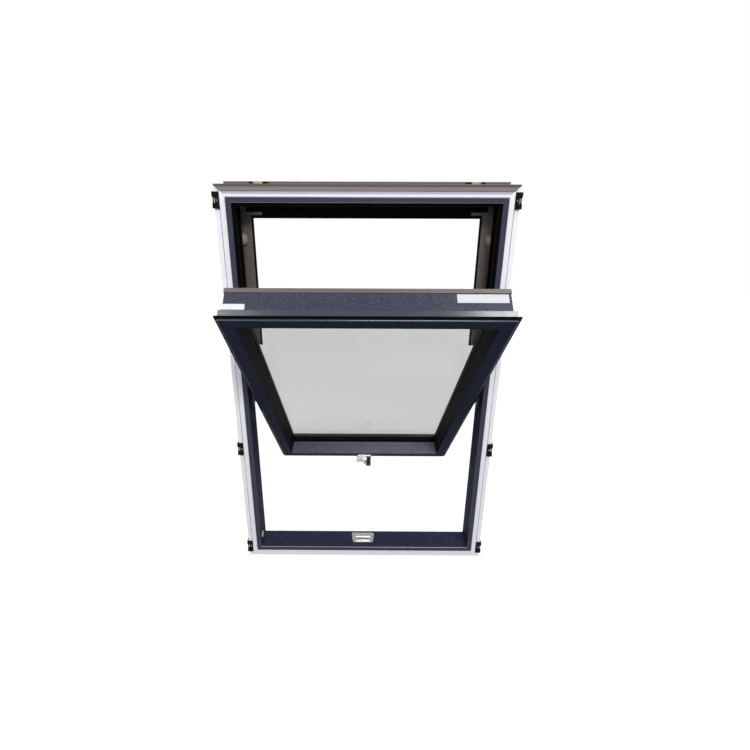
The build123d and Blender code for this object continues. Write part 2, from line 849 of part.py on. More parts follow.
neck_front = -base_height - handle_gap
with BuildPart() as lever:
    with BuildSketch(Plane((0, sash_y, handle_offset - sash_rise), x_dir=(1, 0, 0), z_dir=(0, 0, 1))):
        with BuildLine():
            Polyline(
                (neck_place + neck_radius, neck_front),
                (neck_place + neck_radius, neck_front - neck_reach),
                (neck_place - neck_radius, neck_front - neck_reach),
                (neck_place - neck_radius - lever_bend, neck_front - lever_front - lever_thickness),
                (neck_place - lever_length, neck_front - lever_front - lever_thickness),
                (neck_place - lever_length, neck_front - lever_front),
                (neck_place - neck_radius - lever_bend, neck_front - lever_front),
                (neck_place - neck_radius, neck_front - lever_front - lever_thickness),
                (neck_place - neck_radius, neck_front),
                close=True,
            )
        make_face()
    extrude(amount=lever_width / 2, both=True)
    fillet(lever.edges().filter_by(Axis.Z), radius=lever_edge)
    with BuildSketch(bottom_rail.offset(-shank_end)):
        with Locations(shank_place):
            Rectangle(shank_size, shank_size)
    extrude(amount=shank_end - neck_front)
write(lever, "handle_lever", turned=True)

# Cleaning bolt on the top rail: a base with a bridge, and the bolt whose tail slides in the bridge
bolt_seat = Plane.XY.offset(sash_rise - flange_step)
bolt_y = sash_y + bolt_plate_depth
bolt_rod_seat = bolt_seat.offset(bolt_plate_thickness + bolt_play)
bridge_end = bolt_plate_length - body_x
with BuildPart() as bolt_plate:
    with BuildSketch(bolt_seat):
        with Locations((-body_x, bolt_y)):
            Rectangle(bolt_plate_length, bolt_plate_height, align=(Align.MIN, Align.CENTER))
    extrude(amount=bolt_plate_thickness)
    with BuildSketch(bolt_seat):
        with Locations((bridge_end, bolt_y)):
            Rectangle(bolt_bridge_length, bolt_plate_height, align=(Align.MAX, Align.CENTER))
    extrude(amount=bolt_bridge_height)
    with BuildSketch(bolt_seat.offset(bolt_plate_thickness)):
        with Locations((bridge_end, bolt_y)):
            slot = bolt_rod_width + 2 * bolt_play
            Rectangle(bolt_bridge_length, slot, align=(Align.MAX, Align.CENTER))
    extrude(amount=bolt_rod_thickness + 2 * bolt_play, mode=Mode.SUBTRACT)
write(bolt_plate, "bolt_plate", turned=True)

with BuildPart() as bolt:
    with BuildSketch(bolt_rod_seat):
        with Locations((-body_x - bolt_overhang, bolt_y)):
            rod_length = bolt_overhang + bolt_plate_length - bolt_tail_inset
            Rectangle(rod_length, bolt_rod_width, align=(Align.MIN, Align.CENTER))
    extrude(amount=bolt_rod_thickness)
    with BuildSketch(bolt_rod_seat):
        with Locations((-body_x - bolt_overhang, bolt_y)):
            head_length = bolt_overhang + bolt_plate_length - bolt_bridge_length - bolt_split
            Rectangle(head_length, bolt_plate_height, align=(Align.MIN, Align.CENTER))
    extrude(amount=bolt_bridge_height - bolt_plate_thickness - bolt_play)
write(bolt, "cleaning_bolt", turned=True)
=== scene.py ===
import json
import math

import bmesh
import bpy
from mathutils import Matrix, Vector


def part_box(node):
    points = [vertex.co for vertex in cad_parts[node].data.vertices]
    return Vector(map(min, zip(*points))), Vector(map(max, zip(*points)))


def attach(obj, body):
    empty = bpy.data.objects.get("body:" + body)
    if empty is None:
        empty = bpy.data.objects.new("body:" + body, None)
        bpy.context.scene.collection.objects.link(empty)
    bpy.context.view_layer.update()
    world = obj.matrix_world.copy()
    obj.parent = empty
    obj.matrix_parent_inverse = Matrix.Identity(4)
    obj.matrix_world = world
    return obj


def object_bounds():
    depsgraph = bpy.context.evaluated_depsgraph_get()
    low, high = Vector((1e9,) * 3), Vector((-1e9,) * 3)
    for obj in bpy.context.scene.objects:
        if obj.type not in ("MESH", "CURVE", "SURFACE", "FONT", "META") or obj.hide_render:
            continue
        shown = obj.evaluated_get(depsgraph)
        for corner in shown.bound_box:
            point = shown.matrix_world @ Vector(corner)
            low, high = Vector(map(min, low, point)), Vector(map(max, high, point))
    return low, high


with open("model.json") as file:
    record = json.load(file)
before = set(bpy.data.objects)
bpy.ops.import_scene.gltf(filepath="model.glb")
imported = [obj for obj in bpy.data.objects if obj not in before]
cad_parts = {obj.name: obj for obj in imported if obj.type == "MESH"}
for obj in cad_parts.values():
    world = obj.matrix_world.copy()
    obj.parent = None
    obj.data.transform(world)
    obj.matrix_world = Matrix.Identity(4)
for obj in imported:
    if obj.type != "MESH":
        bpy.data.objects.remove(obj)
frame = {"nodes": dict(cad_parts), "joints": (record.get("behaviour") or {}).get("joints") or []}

bl_info = {
    "name": "Centre-pivot roof window",
    "version": (1, 0, 0),
    "blender": (4, 5, 0),
    "location": "3D View > Sidebar > Roof window",
    "description": "Finishes, label and stage for a PVC roof window with a turning sash",
    "category": "Object",
}

CAD_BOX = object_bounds()
NODES = frame["nodes"]
SWING = next(joint for joint in frame["joints"] if joint["name"] == "sash_swing")
PIVOT = Vector(SWING["pos_m"])
OPEN_ANGLE = math.radians(-SWING["range_deg"][0])
SASH_TURN = (Matrix.Translation(PIVOT) @ Matrix.Rotation(OPEN_ANGLE, 4, "X")
             @ Matrix.Translation(-PIVOT))
SASH_CLOSE = SASH_TURN.inverted()
FRAME_LOW, FRAME_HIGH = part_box("frame_jamb_left")
FRAME_HALF_HEIGHT = FRAME_HIGH.z
FRAME_HALF_WIDTH = -FRAME_LOW.x
SASH_HALF_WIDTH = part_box("sash_top_rail")[1].x
MM = 0.001

# Bands on the frame, in from its outer edge: bare PVC, and the groove, which is in the fin's
# room side and is dressed in black rubber as painted shade.
WHITE_BAND = 29.5 * MM
GROOVE = (12.2 * MM, 13.8 * MM)
FIN_MIDDLE_Y = 0.0
# Bands on the head, down from its top: painted shadow on the PVC below the strip, and painted
# shade on the strip's upper edge.
STRIP_SHADOW_BAND = (25.5 * MM, 15.5 * MM)
STRIP_SHADE_BAND = (8.0 * MM, 5.0 * MM)
# Bands on the sash, in from its outer edge: the rounded lip, and where the flat meets the bead.
SASH_LIP = 1.6 * MM
FLAT_END = 33.0 * MM
# How squarely a face looks along an axis: it faces it, or it turns between two faces.
FACING = 0.5
TURNING = (0.05, 0.97)
# The label, across the window and back from the sash's room face.
LABEL_ACROSS = (192.0 * MM, 303.0 * MM)
LABEL_BACK = (50.0 * MM, 71.5 * MM)

# Lamp, its place, what it is aimed at, its sides in metres and its power in watts.
LAMPS = (
    ("key_softbox", (0.8, -5.2, 4.3), (0.0, 0.0, 0.0), (2.2, 1.6), 325.0),
    ("fill_softbox", (-2.0, -4.4, 1.9), (0.0, 0.0, 0.0), (1.8, 2.0), 35.0),
    ("right_strip", (0.95, -0.75, 2.4), (0.3, -0.35, 0.35), (0.42, 0.36), 11.0),
    ("left_strip", (-0.95, -0.75, 2.4), (-0.3, -0.35, 0.35), (0.42, 0.36), 3.2),
    ("back_softbox", (0.4, 3.2, 2.4), (0.0, 0.0, 0.0), (2.6, 1.6), 36.0),
)
SENSOR_WIDTH_MM = 36.0
# Strength of the white surroundings as light on the window, and where they are seen.
WORLD_LIGHT = 0.25
WORLD_SEEN = 1.0
# The floor: metres from its middle to its sides, its glow, and the glow's share of its look.
FLOOR_HALF_SIZE = 30.0
FLOOR_GLOW = 1.18
FLOOR_GLOW_SHARE = 0.8


def linear(code):
    """sRGB hex colour to linear RGBA."""
    channels = [int(code[i:i + 2], 16) / 255 for i in (0, 2, 4)]
    return tuple(c / 12.92 if c <= 0.04045 else ((c + 0.055) / 1.055) ** 2.4
                 for c in channels) + (1.0,)


def grey(share):
    """Grey that leaves this share of a colour when it is multiplied in."""
    return (share, share, share, 1.0)


def per_metre(size_mm):
    """Pattern scale that gives one period of this many millimetres in object coordinates."""
    return 1.0 / (size_mm * MM)


def add_node(tree, kind, inputs=None, stops=(), **settings):
    """Add a node with its settings, ramp colours and inputs.

    An input is a value, a socket, or a node, which gives its first output in use.
    """
    node = tree.nodes.new(kind)
    for name, value in settings.items():
        setattr(node, name, value)
    while stops and len(node.color_ramp.elements) < len(stops):
        node.color_ramp.elements.new(0.5)
    for index, (place, code) in enumerate(stops):
        node.color_ramp.elements[index].position = place
        node.color_ramp.elements[index].color = linear(code)
    for name, value in (inputs or {}).items():
        if isinstance(value, bpy.types.Node):
            value = next(socket for socket in value.outputs if socket.enabled)
        if isinstance(value, bpy.types.NodeSocket):
            tree.links.new(value, node.inputs[name])
        else:
            node.inputs[name].default_value = value
    return node


def start_material(name):
    """New material, its empty node tree and its object coordinates."""
    material = bpy.data.materials.new(name)
    material.use_nodes = True
    tree = material.node_tree
    tree.nodes.clear()
    return material, tree, add_node(tree, "ShaderNodeTexCoord").outputs["Object"]


class WindowLook(bpy.types.PropertyGroup):
    """Colours of the window's finishes, and the few sizes that they follow."""
    # Painted shade: this darker, matt copy of the foil goes on the faces that get less light,
    # the reveals and most of the sash.
    foil: bpy.props.StringProperty(
        name="Foil", description="Anthracite foil in the reveals and on the sash, sRGB hex",
        default="22273c")
    # Paler tips of the grain: partly the grain's own tone, partly painted glints.
    foil_grain_glints: bpy.props.StringProperty(
        name="Foil grain glints", description="Tips of that foil's grain, sRGB hex", default="434759")
    # Painted light: this lighter, glossier copy of the same foil goes on the faces that get the
    # light, the nose and the upper faces.
    painted_lit_foil: bpy.props.StringProperty(
        name="Foil painted lit", description="Foil on the nose and the upper faces, sRGB hex",
        default="2f3243")
    # Paler tips of the grain on the lit copy: partly the grain's own tone, partly painted
    # glints.
    lit_foil_grain_glints: bpy.props.StringProperty(
        name="Lit foil grain glints", description="Tips of the grain with sheen, sRGB hex",
        default="53555f")
    edge_foil: bpy.props.StringProperty(
        name="Edge foil", description="Foil drawn round an edge, sRGB hex", default="2e3244")
    # Painted highlight: the rounded corners of the head's and sill's nose are painted pale, as a
    # thin line of light.
    painted_highlight_edge: bpy.props.StringProperty(
        name="Painted highlight edge", description="Foil painted pale as a highlight on the nose's corners, sRGB hex",
        default="8d8f9c")
    white_pvc: bpy.props.StringProperty(
        name="White PVC", description="Bare profile at the edges, sRGB hex", default="f4f3f9")
    # Painted shadow: the grey of the PVC just below the head strip, and the darker line in the
    # joint.
    painted_strip_shadow: bpy.props.StringProperty(
        name="Painted shadow", description="White PVC just below the head strip, sRGB hex",
        default="b9b7c4")
    painted_joint_shadow: bpy.props.StringProperty(
        name="Joint painted shadow", description="White PVC in the joint with the head strip, sRGB hex",
        default="75727d")
    cladding: bpy.props.StringProperty(
        name="Covers", description="Coated aluminium outside, sRGB hex", default="5a5450")
    trim: bpy.props.StringProperty(
        name="Head strip", description="Strip on the head, sRGB hex", default="7c7475")
    # Painted shade on the strip's upper edge; the same colour also dresses the head's top.
    strip_shade_and_head_top: bpy.props.StringProperty(
        name="Strip shade and head top", description="Strip's upper edge and the head's top, sRGB hex",
        default="473e39")
    silver: bpy.props.StringProperty(
        name="Handle base", description="Satin anodised base, sRGB hex", default="d6d5d0")
    lever: bpy.props.StringProperty(
        name="Lever", description="Matt anodised lever, sRGB hex", default="8f8b85")
    # Painted shade: the lever's neck is dressed in black zinc, standing in for its shaded side.
    shaded_neck_start: bpy.props.FloatProperty(
        name="Shaded neck", description="Where the lever's dark neck starts, across the window",
        default=0.0065, unit="LENGTH")
    cover_gauge: bpy.props.FloatProperty(
        name="Cover gauge", description="Sheet thickness of the covers", default=0.0015,
        unit="LENGTH")
    label_thickness: bpy.props.FloatProperty(
        name="Label", description="Thickness of the blank label", default=0.0004,
        unit="LENGTH")


class WindowStage(bpy.types.PropertyGroup):
    """Camera and floor."""
    lens: bpy.props.FloatProperty(
        name="Lens", description="Focal length", default=23.95, unit="CAMERA")
    eye: bpy.props.FloatVectorProperty(
        name="Eye", description="Camera's place", default=(-0.0128, -1.3601, 0.6112),
        subtype="XYZ", unit="LENGTH")
    pitch: bpy.props.FloatProperty(
        name="Pitch", description="Look down", default=math.radians(22.435), subtype="ANGLE")
    yaw: bpy.props.FloatProperty(
        name="Yaw", description="Look to the right", default=math.radians(-0.26),
        subtype="ANGLE")
    roll: bpy.props.FloatProperty(
        name="Roll", description="Lean", default=math.radians(0.166), subtype="ANGLE")
    shift: bpy.props.FloatVectorProperty(
        name="Shift", description="Lens shift, as the picture is cropped off centre",
        default=(0.0213, 0.0080), size=2)
    floor_gap: bpy.props.FloatProperty(
        name="Floor gap", description="Floor below the frame", default=0.002, unit="LENGTH")


# Foil laminated on PVC: calendered with a sand grain, dark navy, with the tips of the grain
# paler, partly the grain's own tone and partly painted glints. Drawn at 2 mm, as the real grain
# is too fine to show.
def grained_foil(name, code, grain_glint_code, gloss, rough):
    material, tree, place = start_material(name)
    grain = add_node(tree, "ShaderNodeTexNoise", {
        "Vector": place, "Scale": per_metre(2.0), "Detail": 2.0, "Roughness": 0.6})
    cloud = add_node(tree, "ShaderNodeTexNoise", {
        "Vector": place, "Scale": per_metre(60), "Detail": 2.0, "Roughness": 0.55})
    clouding = add_node(tree, "ShaderNodeMapRange", {
        "Value": cloud, "To Min": 0.0, "To Max": 0.5})
    low_side = add_node(tree, "ShaderNodeMix", {
        "Factor": clouding, "A": linear(code), "B": grey(0.85)},
        data_type="RGBA", blend_type="MULTIPLY")
    # Paler tips of the grain: partly its own tone, partly painted glints.
    grain_glints = add_node(tree, "ShaderNodeMapRange", {
        "Value": grain, "From Min": 0.44, "From Max": 0.68, "To Min": 0.0, "To Max": 1.0})
    colour = add_node(tree, "ShaderNodeMix", {
        "Factor": grain_glints, "A": low_side, "B": linear(grain_glint_code)}, data_type="RGBA")
    dullness = add_node(tree, "ShaderNodeMapRange", {
        "Value": grain, "To Min": rough, "To Max": rough + 0.2})
    relief = add_node(tree, "ShaderNodeBump", {
        "Height": grain, "Strength": 0.8, "Distance": 0.5 * MM})
    surface = add_node(tree, "ShaderNodeBsdfPrincipled", {
        "Base Color": colour, "Roughness": dullness, "Specular IOR Level": gloss,
        "Normal": relief})
    add_node(tree, "ShaderNodeOutputMaterial", {"Surface": surface})
    return material


# The same foil drawn tight round an edge: the grain is pulled flat, so the edge is smooth and
# shines.
def stretched_foil(name, code):
    material, tree, place = start_material(name)
    pull = add_node(tree, "ShaderNodeTexNoise", {
        "Vector": place, "Scale": per_metre(25), "Detail": 2.0, "Roughness": 0.55})
    thinning = add_node(tree, "ShaderNodeMapRange", {
        "Value": pull, "To Min": 0.0, "To Max": 0.5})
    colour = add_node(tree, "ShaderNodeMix", {
        "Factor": thinning, "A": linear(code), "B": grey(0.85)},
        data_type="RGBA", blend_type="MULTIPLY")
    dullness = add_node(tree, "ShaderNodeMapRange", {
        "Value": pull, "To Min": 0.16, "To Max": 0.26})
    grain = add_node(tree, "ShaderNodeTexNoise", {
        "Vector": place, "Scale": per_metre(1.4), "Detail": 3.0, "Roughness": 0.55})
    relief = add_node(tree, "ShaderNodeBump", {
        "Height": grain, "Strength": 0.1, "Distance": 0.04 * MM})
    surface = add_node(tree, "ShaderNodeBsdfPrincipled", {
        "Base Color": colour, "Roughness": dullness, "Specular IOR Level": 0.5,
        "Normal": relief})
    add_node(tree, "ShaderNodeOutputMaterial", {"Surface": surface})
    return material


# Painted shade on the glazing bead: the slopes of the sash between its flat and the glass that
# face across the opening are drawn black and smooth, barely shining.
def painted_shade_bead():
    material, tree, place = start_material("bead_painted_shade")
    lines = add_node(tree, "ShaderNodeTexNoise", {
        "Vector": place, "Scale": per_metre(6), "Detail": 2.0, "Roughness": 0.55})
    colour = add_node(tree, "ShaderNodeValToRGB", {"Fac": lines},
                      stops=[(0.3, "0b0c0f"), (0.75, "141418")])
    dullness = add_node(tree, "ShaderNodeMapRange", {
        "Value": lines, "To Min": 0.5, "To Max": 0.65})
    relief = add_node(tree, "ShaderNodeBump", {
        "Height": lines, "Strength": 0.1, "Distance": 0.05 * MM})
    surface = add_node(tree, "ShaderNodeBsdfPrincipled", {
        "Base Color": colour, "Roughness": dullness, "Specular IOR Level": 0.03,
        "Normal": relief})
    add_node(tree, "ShaderNodeOutputMaterial", {"Surface": surface})
    return material


# Extruded white PVC: smooth and slightly glossy, with faint lines along the extrusion and a hint
# of grey from handling. Below the strip on the head, the strip's shadow is painted on, darkest
# in the joint.
def extruded_pvc(name, code, shadow_code=None, joint_shadow_code=None):
    material, tree, place = start_material(name)
    lines = add_node(tree, "ShaderNodeTexNoise", {
        "Vector": place, "Scale": per_metre(4), "Detail": 2.0, "Roughness": 0.55})
    scuff = add_node(tree, "ShaderNodeTexNoise", {
        "Vector": place, "Scale": per_metre(35), "Detail": 4.0, "Roughness": 0.55})
    base = linear(code)
    # Painted shadow below the head strip, darkest in the joint.
    if shadow_code:
        height = add_node(tree, "ShaderNodeSeparateXYZ", {"Vector": place})
        under_strip = add_node(tree, "ShaderNodeMapRange", {
            "Value": height.outputs["Z"], "From Min": FRAME_HALF_HEIGHT - STRIP_SHADOW_BAND[0],
            "From Max": FRAME_HALF_HEIGHT - STRIP_SHADOW_BAND[1]})
        base = add_node(tree, "ShaderNodeValToRGB", {"Fac": under_strip}, stops=[
            (0.0, code), (0.3, shadow_code), (0.72, shadow_code), (0.88, joint_shadow_code)])
    scuffing = add_node(tree, "ShaderNodeMapRange", {
        "Value": scuff, "To Min": 0.0, "To Max": 0.4})
    colour = add_node(tree, "ShaderNodeMix", {
        "Factor": scuffing, "A": base, "B": grey(0.9)},
        data_type="RGBA", blend_type="MULTIPLY")
    dullness = add_node(tree, "ShaderNodeMapRange", {
        "Value": lines, "To Min": 0.32, "To Max": 0.46})
    relief = add_node(tree, "ShaderNodeBump", {
        "Height": lines, "Strength": 0.08, "Distance": 0.05 * MM})
    surface = add_node(tree, "ShaderNodeBsdfPrincipled", {
        "Base Color": colour, "Roughness": dullness, "Specular IOR Level": 0.3,
        "Normal": relief})
    add_node(tree, "ShaderNodeOutputMaterial", {"Surface": surface})
    return material


# Powder-coated aluminium: a baked coat with the slight orange peel of the spray, satin. The head
# strip's upper edge is painted darker, as painted shade.
def coated_sheet(name, code, upper_shade_code=None):
    material, tree, place = start_material(name)
    peel = add_node(tree, "ShaderNodeTexNoise", {
        "Vector": place, "Scale": per_metre(1.6), "Detail": 1.0, "Roughness": 0.55})
    film = add_node(tree, "ShaderNodeTexNoise", {
        "Vector": place, "Scale": per_metre(90), "Detail": 3.0, "Roughness": 0.55})
    base = linear(code)
    # Painted shade along the strip's upper edge.
    if upper_shade_code:
        height = add_node(tree, "ShaderNodeSeparateXYZ", {"Vector": place})
        rise = add_node(tree, "ShaderNodeMapRange", {
            "Value": height.outputs["Z"], "From Min": FRAME_HALF_HEIGHT - STRIP_SHADE_BAND[0],
            "From Max": FRAME_HALF_HEIGHT - STRIP_SHADE_BAND[1]})
        base = add_node(tree, "ShaderNodeValToRGB", {"Fac": rise},
                        stops=[(0.0, code), (1.0, upper_shade_code)])
    filming = add_node(tree, "ShaderNodeMapRange", {
        "Value": film, "To Min": 0.0, "To Max": 0.45})
    colour = add_node(tree, "ShaderNodeMix", {
        "Factor": filming, "A": base, "B": grey(0.85)},
        data_type="RGBA", blend_type="MULTIPLY")
    dullness = add_node(tree, "ShaderNodeMapRange", {
        "Value": peel, "To Min": 0.36, "To Max": 0.48})
    relief = add_node(tree, "ShaderNodeBump", {
        "Height": peel, "Strength": 0.18, "Distance": 0.08 * MM})
    surface = add_node(tree, "ShaderNodeBsdfPrincipled", {
        "Base Color": colour, "Roughness": dullness, "Normal": relief})
    add_node(tree, "ShaderNodeOutputMaterial", {"Surface": surface})
    return material


# EPDM rubber: extruded, matt black, with a bloom of grey dust. Its skin is drawn at 1.5 mm, as
# the real one is too fine to show.
def extruded_rubber():
    material, tree, place = start_material("extruded_epdm_rubber")
    dust = add_node(tree, "ShaderNodeTexNoise", {
        "Vector": place, "Scale": per_metre(18), "Detail": 5.0, "Roughness": 0.55})
    colour = add_node(tree, "ShaderNodeValToRGB", {"Fac": dust},
                      stops=[(0.35, "030304"), (0.8, "0a0b0c")])
    dullness = add_node(tree, "ShaderNodeMapRange", {
        "Value": dust, "To Min": 0.5, "To Max": 0.72})
    skin = add_node(tree, "ShaderNodeTexNoise", {
        "Vector": place, "Scale": per_metre(1.5), "Detail": 3.0, "Roughness": 0.55})
    relief = add_node(tree, "ShaderNodeBump", {
        "Height": skin, "Strength": 0.15, "Distance": 0.08 * MM})
    surface = add_node(tree, "ShaderNodeBsdfPrincipled", {
        "Base Color": colour, "Roughness": dullness, "Specular IOR Level": 0.03,
        "Normal": relief})
    add_node(tree, "ShaderNodeOutputMaterial", {"Surface": surface})
    return material


# Galvanised steel: hot-dip zinc with its spangle of crystals, each a little lighter or darker.
def galvanised_steel():
    material, tree, place = start_material("galvanised_steel")
    spangle = add_node(tree, "ShaderNodeTexVoronoi", {"Vector": place, "Scale": per_metre(9)})
    tone = add_node(tree, "ShaderNodeSeparateColor", {"Color": spangle.outputs["Color"]})
    colour = add_node(tree, "ShaderNodeValToRGB", {"Fac": tone.outputs["Red"]},
                      stops=[(0.0, "9a9ea2"), (1.0, "c2c5c7")])
    dullness = add_node(tree, "ShaderNodeMapRange", {
        "Value": tone.outputs["Red"], "To Min": 0.32, "To Max": 0.5})
    surface = add_node(tree, "ShaderNodeBsdfPrincipled", {
        "Base Color": colour, "Roughness": dullness, "Metallic": 1.0})
    add_node(tree, "ShaderNodeOutputMaterial", {"Surface": surface})
    return material


# Zinc-plated steel, yellow passivated: dull pale gold with a faint drift of green.
def yellow_zinc():
    material, tree, place = start_material("yellow_passivated_zinc")
    drift = add_node(tree, "ShaderNodeTexNoise", {
        "Vector": place, "Scale": per_metre(8), "Detail": 3.0, "Roughness": 0.55})
    colour = add_node(tree, "ShaderNodeValToRGB", {"Fac": drift},
                      stops=[(0.3, "918e72"), (0.75, "a5a186")])
    dullness = add_node(tree, "ShaderNodeMapRange", {
        "Value": drift, "To Min": 0.3, "To Max": 0.45})
    surface = add_node(tree, "ShaderNodeBsdfPrincipled", {
        "Base Color": colour, "Roughness": dullness, "Metallic": 0.7})
    add_node(tree, "ShaderNodeOutputMaterial", {"Surface": surface})
    return material


# Die-cast zinc under a silver lacquer: satin, with the soft skin of the mould.
def cast_zinc():
    material, tree, place = start_material("lacquered_cast_zinc")
    skin = add_node(tree, "ShaderNodeTexNoise", {
        "Vector": place, "Scale": per_metre(3), "Detail": 3.0, "Roughness": 0.55})
    colour = add_node(tree, "ShaderNodeValToRGB", {"Fac": skin},
                      stops=[(0.3, "b4b3b4"), (0.75, "c8c7c6")])
    dullness = add_node(tree, "ShaderNodeMapRange", {
        "Value": skin, "To Min": 0.3, "To Max": 0.46})
    relief = add_node(tree, "ShaderNodeBump", {
        "Height": skin, "Strength": 0.12, "Distance": 0.06 * MM})
    surface = add_node(tree, "ShaderNodeBsdfPrincipled", {
        "Base Color": colour, "Roughness": dullness, "Metallic": 0.85, "Normal": relief})
    add_node(tree, "ShaderNodeOutputMaterial", {"Surface": surface})
    return material


# Black passivated cast zinc: nearly black, with a trace of green where the bath ran thin.
def blackened_zinc():
    material, tree, place = start_material("black_passivated_zinc")
    bath = add_node(tree, "ShaderNodeTexNoise", {
        "Vector": place, "Scale": per_metre(7), "Detail": 3.0, "Roughness": 0.55})
    colour = add_node(tree, "ShaderNodeValToRGB", {"Fac": bath},
                      stops=[(0.3, "16171a"), (0.75, "222322")])
    dullness = add_node(tree, "ShaderNodeMapRange", {
        "Value": bath, "To Min": 0.45, "To Max": 0.6})
    skin = add_node(tree, "ShaderNodeTexNoise", {
        "Vector": place, "Scale": per_metre(2.0), "Detail": 3.0, "Roughness": 0.55})
    relief = add_node(tree, "ShaderNodeBump", {
        "Height": skin, "Strength": 0.1, "Distance": 0.05 * MM})
    surface = add_node(tree, "ShaderNodeBsdfPrincipled", {
        "Base Color": colour, "Roughness": dullness, "Specular IOR Level": 0.15,
        "Normal": relief})
    add_node(tree, "ShaderNodeOutputMaterial", {"Surface": surface})
    return material


# Anodised aluminium: fine etch, bright on the handle's base and matt on its lever. Drawn at
# 0.8 mm, as the real etch is too fine to show.
def anodised_aluminium(name, code, rough):
    material, tree, place = start_material(name)
    etch = add_node(tree, "ShaderNodeTexNoise", {
        "Vector": place, "Scale": per_metre(0.8), "Detail": 3.0, "Roughness": 0.55})
    etching = add_node(tree, "ShaderNodeMapRange", {
        "Value": etch, "To Min": 0.0, "To Max": 0.4})
    colour = add_node(tree, "ShaderNodeMix", {
        "Factor": etching, "A": linear(code), "B": grey(0.8)},
        data_type="RGBA", blend_type="MULTIPLY")
    dullness = add_node(tree, "ShaderNodeMapRange", {
        "Value": etch, "To Min": rough, "To Max": rough + 0.14})
    relief = add_node(tree, "ShaderNodeBump", {
        "Height": etch, "Strength": 0.1, "Distance": 0.04 * MM})
    surface = add_node(tree, "ShaderNodeBsdfPrincipled", {
        "Base Color": colour, "Roughness": dullness, "Metallic": 1.0, "Normal": relief})
    add_node(tree, "ShaderNodeOutputMaterial", {"Surface": surface})
    return material


# Moulded plastic: spark-eroded mould texture, matt on the shoes and smooth on the bolt. Drawn at
# 1 to 2 mm, as the real texture is too fine to show.
def moulded_plastic(name, low, high, grain_mm, rough, gloss=0.3):
    material, tree, place = start_material(name)
    grain = add_node(tree, "ShaderNodeTexNoise", {
        "Vector": place, "Scale": per_metre(grain_mm), "Detail": 3.0, "Roughness": 0.55})
    colour = add_node(tree, "ShaderNodeValToRGB", {"Fac": grain},
                      stops=[(0.3, low), (0.75, high)])
    dullness = add_node(tree, "ShaderNodeMapRange", {
        "Value": grain, "To Min": rough, "To Max": rough + 0.14})
    relief = add_node(tree, "ShaderNodeBump", {
        "Height": grain, "Strength": 0.2, "Distance": 0.06 * MM})
    surface = add_node(tree, "ShaderNodeBsdfPrincipled", {
        "Base Color": colour, "Roughness": dullness, "Specular IOR Level": gloss,
        "Normal": relief})
    add_node(tree, "ShaderNodeOutputMaterial", {"Surface": surface})
    return material


# Float glass: clear with a grey tint that drifts slightly. Its IOR is set low, so that the
# panes bend and mirror little. Light passes its shadow, as through a window.
def float_glass():
    material, tree, place = start_material("clear_float_glass")
    tint = add_node(tree, "ShaderNodeTexNoise", {
        "Vector": place, "Scale": per_metre(400), "Detail": 1.0, "Roughness": 0.55})
    colour = add_node(tree, "ShaderNodeValToRGB", {"Fac": tint},
                      stops=[(0.2, "dddddc"), (0.8, "e1e1e0")])
    surface = add_node(tree, "ShaderNodeBsdfPrincipled", {
        "Base Color": colour, "Roughness": 0.0, "IOR": 1.06, "Transmission Weight": 1.0})
    clear = add_node(tree, "ShaderNodeBsdfTransparent", {"Color": linear("d9dcda")})
    path = add_node(tree, "ShaderNodeLightPath")
    mix = add_node(tree, "ShaderNodeMixShader", {
        0: path.outputs["Is Shadow Ray"], 1: surface, 2: clear})
    add_node(tree, "ShaderNodeOutputMaterial", {"Surface": mix})
    return material


# Coated paper label, left blank: matt white with the faint mottle of the paper.
def label_paper():
    material, tree, place = start_material("blank_label_paper")
    pulp = add_node(tree, "ShaderNodeTexNoise", {
        "Vector": place, "Scale": per_metre(5), "Detail": 3.0, "Roughness": 0.55})
    colour = add_node(tree, "ShaderNodeValToRGB", {"Fac": pulp},
                      stops=[(0.3, "c3c3c9"), (0.7, "ccccd0")])
    dullness = add_node(tree, "ShaderNodeMapRange", {
        "Value": pulp, "To Min": 0.5, "To Max": 0.65})
    surface = add_node(tree, "ShaderNodeBsdfPrincipled", {
        "Base Color": colour, "Roughness": dullness})
    add_node(tree, "ShaderNodeOutputMaterial", {"Surface": surface})
    return material


def dress(material, *names):
    """Give CAD nodes one finish."""
    for name in names:
        slots = NODES[name].data.materials
        slots.clear()
        slots.append(material)


def dress_faces(name, finishes, pick, *details):
    """Give a CAD node several finishes, of which pick names one for each face."""
    mesh = NODES[name].data
    mesh.materials.clear()
    for material in finishes.values():
        mesh.materials.append(material)
    order = list(finishes)
    for face in mesh.polygons:
        face.material_index = order.index(pick(face, *details))


def sash_points(name):
    """Corners of a sash node's mesh, with the sash swung closed."""
    return [SASH_CLOSE @ vertex.co for vertex in NODES[name].data.vertices]


def frame_finish(face, on_head):
    """Finish of a face of the frame, by how far in it lies and where it looks."""
    inward = min(FRAME_HALF_WIDTH - abs(face.center.x), FRAME_HALF_HEIGHT - abs(face.center.z))
    to_room = face.normal.y < -FACING
    # The groove's faces are dressed in black rubber, as painted shade in the recess.
    if GROOVE[0] < inward < GROOVE[1] and face.center.y < FIN_MIDDLE_Y:
        return "groove_painted_shade"
    if inward < WHITE_BAND:
        # Painted shadow of the head strip on the head's room face.
        if on_head and to_room:
            return "painted_shadow_finish"
        return "coat" if on_head and face.normal.z > FACING else "white"
    if TURNING[0] < abs(face.normal.y) < TURNING[1]:
        return "edge"
    # Faces to the room get the foil painted lighter, as painted light; the others get it painted
    # darker, as painted shade.
    return "painted_lit_finish" if to_room else "foil"


